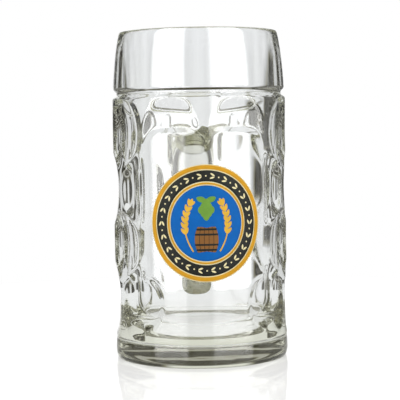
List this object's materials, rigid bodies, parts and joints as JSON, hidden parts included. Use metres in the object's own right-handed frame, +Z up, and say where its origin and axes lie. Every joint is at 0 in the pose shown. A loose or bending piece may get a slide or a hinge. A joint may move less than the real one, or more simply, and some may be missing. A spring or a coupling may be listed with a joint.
{
  "type": "glass beer stein",
  "caption": "Heavy clear glass beer mug with staggered concave eyes, a smooth front panel with a fired enamel badge, a grooved rim band and a loop handle at the back.",
  "frame": {"origin": "centre of the foot on the mug's axis, at the level that the mug stands on", "axes": "+Z up along the mug's axis, +Y towards the handle, so the badge faces -Y, and +X to the right of someone who looks at the badge"},
  "size_m": [0.1068, 0.1552, 0.2],
  "materials": {
    "glass": "clear pressed glass with a faint grey-green tint",
    "handle_glass": "clear pressed glass, thicker and a little greener",
    "cream_enamel": "satin fired enamel",
    "gold_enamel": "satin fired enamel",
    "black_enamel": "satin fired enamel",
    "blue_enamel": "satin fired enamel",
    "brown_enamel": "satin fired enamel",
    "yellow_enamel": "satin fired enamel",
    "green_enamel": "satin fired enamel"
  },
  "bodies": {
    "root": {"mug_body": "glass", "handle": "handle_glass", "badge_ground": "cream_enamel", "badge_border": "gold_enamel", "badge_band": "black_enamel", "badge_inner_line": "gold_enamel", "badge_field": "blue_enamel", "badge_barrel": "brown_enamel", "badge_barley_left": "yellow_enamel", "badge_barley_right": "yellow_enamel", "badge_hop": "green_enamel"}
  },
  "joints": []
}
